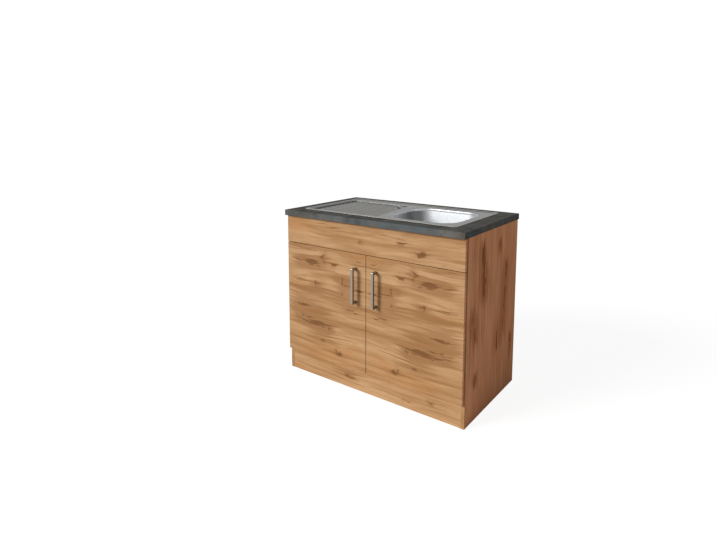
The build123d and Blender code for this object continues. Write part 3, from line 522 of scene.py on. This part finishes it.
def turned_piece(name, outline, reach, half, deep):
    """A piece with its head up at level 0, turned from its (radius, level) outline in metres. The
    cross recess has arms of that reach and half width."""
    shape = bmesh.new()
    rings = [turned_ring(shape, radius, level) for radius, level in outline]
    for first, second in zip(rings, rings[1:]):
        wall_between(shape, first, second)
    shape.faces.new(rings[-1])
    mouth = cross_ring(shape, reach, half, 0.0)
    foot = cross_ring(shape, reach * foot_reach, half * foot_half, -deep)
    wall_between(shape, mouth, foot)
    shape.faces.new(foot)
    rim = [shape.edges.get((ring[step - 1], ring[step])) or shape.edges.new(
        (ring[step - 1], ring[step])) for ring in (rings[0], mouth) for step in range(len(ring))]
    bmesh.ops.triangle_fill(shape, edges=rim, use_beauty=True, normal=(0.0, 0.0, 1.0))
    bmesh.ops.recalc_face_normals(shape, faces=shape.faces)
    mesh = bpy.data.meshes.new(name)
    shape.to_mesh(mesh)
    shape.free()
    mesh.shade_smooth()
    mesh.set_sharp_from_angle(angle=math.radians(edge_turn))
    return mesh


def length_along(box, axis):
    """How long a box is along an axis."""
    return box[1][axis] - box[0][axis]


def drawn_screw(name, box, axis, rise, shank):
    """A screw as long and wide as its box, with a low domed head and a threaded shank."""
    head = max(length_along(box, side) for side in range(3) if side != axis) / 2
    tip = -length_along(box, axis)
    outline = [(head * out, -rise * down) for out, down in dome]
    outline.append((shank * screw_neck, -rise))
    pitch = shank * thread_pitch
    slope = pitch * thread_slope
    root = shank * thread_root
    level = -rise - pitch
    while level > tip + pitch:
        outline += [(root, level + slope), (shank, level), (root, level - slope)]
        level -= pitch
    outline.append((shank * screw_point, tip))
    reach, half = (head * share for share in screw_recess)
    return turned_piece(name, outline, reach, half, deep=rise * screw_recess_depth)


def solids(name):
    """The (low, high) box of each separate solid of a CAD node, in the order of its points, so
    that every run names and rolls the pieces alike."""
    shape = bmesh.new()
    shape.from_mesh(nodes[name].data)
    bmesh.ops.remove_doubles(shape, verts=shape.verts, dist=1e-6)
    left = set(shape.verts)
    found = []
    for first in shape.verts:
        if first not in left:
            continue
        left.remove(first)
        reached = [first]
        for vert in reached:
            near = {edge.other_vert(vert) for edge in vert.link_edges} & left
            left -= near
            reached += near
        corners = [[choose(vert.co[axis] for vert in reached) for axis in range(3)]
                   for choose in (min, max)]
        found.append(tuple(Vector(corner) for corner in corners))
    shape.free()
    return found


def setting_tree():
    """One piece set on every point, its head along the point's facing, and rolled by chance with a
    fixed seed."""
    tree = bpy.data.node_groups.new("set_in_place", "GeometryNodeTree")
    for name, kind in (("Places", "Geometry"), ("Piece", "Object"), ("Finish", "Material"),
                       ("Seed", "Int")):
        tree.interface.new_socket(name, in_out="INPUT", socket_type="NodeSocket" + kind)
    tree.interface.new_socket("Pieces", in_out="OUTPUT", socket_type="NodeSocketGeometry")
    given = tree.nodes.new("NodeGroupInput").outputs
    piece = add(tree, "GeometryNodeObjectInfo", {"Object": given["Piece"]}).outputs["Geometry"]
    facing = add(tree, "GeometryNodeInputNamedAttribute", {"Name": "facing"},
                 data_type="FLOAT_VECTOR").outputs["Attribute"]
    aimed = add(tree, "FunctionNodeAlignRotationToVector", {"Vector": facing}, axis="Z")
    chance = add(tree, "FunctionNodeRandomValue", {
        2: 0.0, 3: math.pi / 2, 8: given["Seed"]}, data_type="FLOAT").outputs[1]
    roll = add(tree, "FunctionNodeAxisAngleToRotation", {"Angle": chance})
    turned = add(tree, "FunctionNodeRotateRotation", {
        0: aimed.outputs[0], 1: roll.outputs[0]}, rotation_space="LOCAL")
    pieces = add(tree, "GeometryNodeInstanceOnPoints", {
        "Points": given["Places"], "Instance": piece, "Rotation": turned.outputs[0]})
    real = add(tree, "GeometryNodeRealizeInstances", {"Geometry": pieces.outputs[0]})
    done = add(tree, "GeometryNodeSetMaterial", {
        "Geometry": real.outputs[0], "Material": given["Finish"]})
    feed(tree, tree.nodes.new("NodeGroupOutput").inputs["Pieces"], done.outputs[0])
    return tree


set_in_place = setting_tree()


def set_pieces(node, body, mesh, finish, places):
    """Sets the drawn piece at every (place, facing), for the CAD node that it stands for."""
    points = bpy.data.meshes.new(mesh.name + "_places")
    points.from_pydata([place for place, facing in places], [], [])
    facings = points.attributes.new("facing", "FLOAT_VECTOR", "POINT")
    for item, (place, facing) in zip(facings.data, places):
        item.vector = facing
    holder = bpy.data.objects.new(mesh.name + "_holder", points)
    bpy.context.scene.collection.objects.link(holder)
    piece = bpy.data.objects.new(mesh.name + "_piece", mesh)
    modifier = holder.modifiers.new("set_in_place", "NODES")
    modifier.node_group = set_in_place
    given = {"Piece": piece, "Finish": finish, "Seed": len(places)}
    for socket in set_in_place.interface.items_tree:
        if socket.name in given:
            modifier[socket.identifier] = given[socket.name]
    graph = bpy.context.evaluated_depsgraph_get()
    made = bpy.data.meshes.new_from_object(holder.evaluated_get(graph))
    holder.modifiers.remove(modifier)
    bpy.data.objects.remove(holder)
    bpy.data.objects.remove(piece)
    result = bpy.data.objects.new(mesh.name, made)
    bpy.context.scene.collection.objects.link(result)
    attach(result, body)
    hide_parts(node)


def end_of(box, axis, towards):
    """Middle of a solid's end, and the way that end faces."""
    place = (box[0] + box[1]) / 2
    place[axis] = box[1][axis] if towards > 0 else box[0][axis]
    facing = Vector((0.0, 0.0, 0.0))
    facing[axis] = towards
    return place, facing


def set_screws(node, body, axis, rise, shank):
    """Every screw of a node, one drawn piece for each length. The heads face up, back or, on the
    side panels, into the cupboard."""
    lengths = {}
    for box in solids(node):
        lengths.setdefault(round(length_along(box, axis), 4), []).append(box)
    for count, boxes in enumerate(lengths.values(), 1):
        mesh = drawn_screw(f"{node}_{count}", boxes[0], axis, rise, shank)
        set_pieces(node, body, mesh, nickel, [
            end_of(box, axis, -1 if axis == 0 and box[0].x > 0 else 1) for box in boxes])


set_screws("hinge_screws", "carcass", axis=0, rise=0.0016, shank=0.0025)
set_screws("waste_screw", "carcass", axis=2, rise=0.0030, shank=0.0030)
for side in ("left", "right"):
    set_screws(f"cup_screws_{side}", f"door_{side}", axis=1, rise=0.0009, shank=0.00175)
    set_screws(f"handle_screws_{side}", f"door_{side}", axis=1, rise=0.0016, shank=0.0020)

cam_radius = 0.0074
cam_depth = 0.012
cam_ease = 0.0006
cam_wall = 0.0012
cam_face = 0.0046
cam_places = []
for cam_box in solids("cams"):
    upright = length_along(cam_box, 2) < 2 * cam_radius - cam_wall
    into_cupboard = 1 if cam_box[0].y < 0 else -1
    cam_places.append(end_of(cam_box, 2, -1) if upright else end_of(cam_box, 1, into_cupboard))
drawn_cam = turned_piece("cams_1", [
    (cam_radius - cam_ease, 0.0), (cam_radius, -cam_ease), (cam_radius, -cam_depth),
    (cam_radius - cam_wall, -cam_depth), (cam_radius - cam_wall, -cam_face),
], reach=0.0036, half=0.0007, deep=0.003)
set_pieces("cams", "carcass", drawn_cam, zinc, cam_places)


# Handles. Bows of square bar with eased edges, satin nickel over steel, each held by two screws
# from the back of its door.

satin_nickel = metal("satin_nickel", (0.36, 0.325, 0.275, 1.0), roughness=0.36,
                     brush=(900.0, 900.0, 25.0), metallic=0.9)
finish_nodes(satin_nickel, "handle_left", "handle_right")


# Sink. One sheet of stainless steel pressed into rim, ribbed drainer and deck and brushed dull
# along its length, with the deep-drawn bowl, brighter inside, welded under it.

deck_grey = (0.200, 0.197, 0.186, 1.0)
bowl_bright = (0.70, 0.715, 0.73, 1.0)
# Painted shade for the bowl's wall beside the drainer.
painted_bowl_shade = (0.20, 0.198, 0.195, 1.0)
bowl_side, bowl_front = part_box("sink_bowl")[0][:2]
bowl_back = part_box("sink_bowl")[1][1]
rim_rise = 0.002  # how far the rim stands above the deck
deck_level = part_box("sink_top")[1][2] - rim_rise
lip_start, lip_end = 0.0005, 0.0040  # depth below the deck where the lip's brightness comes in
lip_aside = 0.008  # how far the lip stands out to the left of the bowl
shade_end, shade_full = 0.075, 0.020  # from the bowl's left side
shade_back = 0.08  # from the bowl's back


def bowl_lip(tree, place):
    """Where the top turns down into the bowl, it is as bright as the bowl."""
    axes = add(tree, "ShaderNodeSeparateXYZ", {"Vector": place}).outputs
    turned_down = between(tree, axes["Z"], deck_level - lip_start, deck_level - lip_end)
    beside_bowl = number(tree, "GREATER_THAN", axes["X"], bowl_side - lip_aside)
    return number(tree, "MULTIPLY", turned_down, beside_bowl), bowl_bright


def bowl_shade(tree, place):
    """Painted shade on the wall beside the drainer, darkest towards the back corner."""
    axes = add(tree, "ShaderNodeSeparateXYZ", {"Vector": place}).outputs
    aside = between(tree, axes["X"], bowl_side + shade_end, bowl_side + shade_full)
    deep = between(tree, axes["Y"], bowl_front, bowl_back - shade_back)
    return number(tree, "MULTIPLY", aside, deep), painted_bowl_shade


# Painted shade in the creases: strong on the sink top, at the foot of the drainer's recess and the
# rib ends, and light in the bowl, the waste and the strainer.
deck_steel = metal("deck_steel", deck_grey, roughness=0.38, brush=(14.0, 700.0, 700.0),
                   metallic=0.85, painted_crease_shade=3.0, region=bowl_lip)
bowl_steel = metal("bowl_steel", bowl_bright, roughness=0.45, brush=(60.0, 60.0, 900.0),
                   painted_crease_shade=0.8, region=bowl_shade)
finish_nodes(deck_steel, "sink_top")
finish_nodes(bowl_steel, "sink_bowl", "waste_pan", "strainer_basket")


# Studio: a pale floor that runs out of sight and keeps a soft shadow, white behind, one broad
# key light from the front left, and the camera where the photograph was taken from.

pure_white = (1.0, 1.0, 1.0, 1.0)
floor_reach = 30.0
floor_white = (0.8, 0.8, 0.8, 1.0)
floor_glow = 0.90  # what the camera sees of the floor apart from what the light adds
floor_matt = (0.2, 0.2, 0.2, 1.0)
sky_fill = 0.22  # light that the sky gives
sky_white = 0.78  # brightness that the camera sees on top of it
sun_strength = 2.8
sun_spread = 24  # degrees
sun_from = (-0.50, -0.80, 0.45)


def seen_directly(tree):
    """1 for what the camera sees, also in metal and through glass, and 0 for what falls on a
    face as light."""
    seen = tree.nodes.new("ShaderNodeLightPath").outputs
    shown = number(tree, "MAXIMUM", seen["Is Camera Ray"], seen["Is Glossy Ray"])
    return number(tree, "MAXIMUM", shown, seen["Is Transmission Ray"])


def studio_floor():
    """A floor whose white is set apart from the light that it throws back on the unit."""
    mesh = bpy.data.meshes.new("studio_floor")
    corners = [(x * floor_reach, y * floor_reach, 0.0)
               for x, y in ((-1, -1), (1, -1), (1, 1), (-1, 1))]
    mesh.from_pydata(corners, [], [(0, 1, 2, 3)])
    floor = bpy.data.objects.new("studio_floor", mesh)
    bpy.context.scene.collection.objects.link(floor)
    material, tree, shader = start_material("floor_white")
    shader.inputs["Base Color"].default_value = floor_white
    shader.inputs["Roughness"].default_value = 1.0
    shader.inputs["Specular IOR Level"].default_value = 0.0
    glow = add(tree, "ShaderNodeEmission", {"Color": pure_white, "Strength": floor_glow})
    matt = add(tree, "ShaderNodeBsdfDiffuse", {"Color": floor_matt})
    both = add(tree, "ShaderNodeAddShader", {0: glow.outputs[0], 1: matt.outputs[0]})
    face = add(tree, "ShaderNodeMixShader", {
        0: seen_directly(tree), 1: shader.outputs[0], 2: both.outputs[0]})
    feed(tree, tree.nodes["Material Output"].inputs["Surface"], face.outputs[0])
    mesh.materials.append(material)


def studio_light():
    """White all round, a little of which lights the unit, and the key light."""
    world = bpy.data.worlds.new("studio")
    bpy.context.scene.world = world
    world.use_nodes = True
    tree = world.node_tree
    back = tree.nodes["Background"]
    strength = number(tree, "MULTIPLY_ADD", seen_directly(tree), sky_white, sky_fill)
    back.inputs["Color"].default_value = pure_white
    feed(tree, back.inputs["Strength"], strength)
    lamp = bpy.data.lights.new("key", "SUN")
    lamp.energy = sun_strength
    lamp.angle = math.radians(sun_spread)
    key = bpy.data.objects.new("key", lamp)
    key.rotation_euler = Vector(sun_from).to_track_quat("Z", "Y").to_euler()
    bpy.context.scene.collection.objects.link(key)


camera_place = (1.3882, -2.1823, 1.2661)
camera_turn = 0.6444  # radians, like the pitch
camera_pitch = 0.1187
camera_lens = 26.34  # mm, like the sensor
camera_sensor = 36.0
photo_width = 716
camera_rise = 80  # pixels of the photograph by which the picture is shifted up


def camera():
    """The camera at the photograph's place, turned down a little, with its picture shifted up."""
    data = bpy.data.cameras.new("camera")
    data.lens = camera_lens
    data.sensor_width = camera_sensor
    data.shift_y = -camera_rise / photo_width
    made = bpy.data.objects.new("camera", data)
    made.location = camera_place
    made.rotation_euler = (math.pi / 2 - camera_pitch, 0.0, camera_turn)
    bpy.context.scene.collection.objects.link(made)
    bpy.context.scene.camera = made


studio_floor()
studio_light()
camera()
bpy.context.scene.view_settings.view_transform = "Standard"
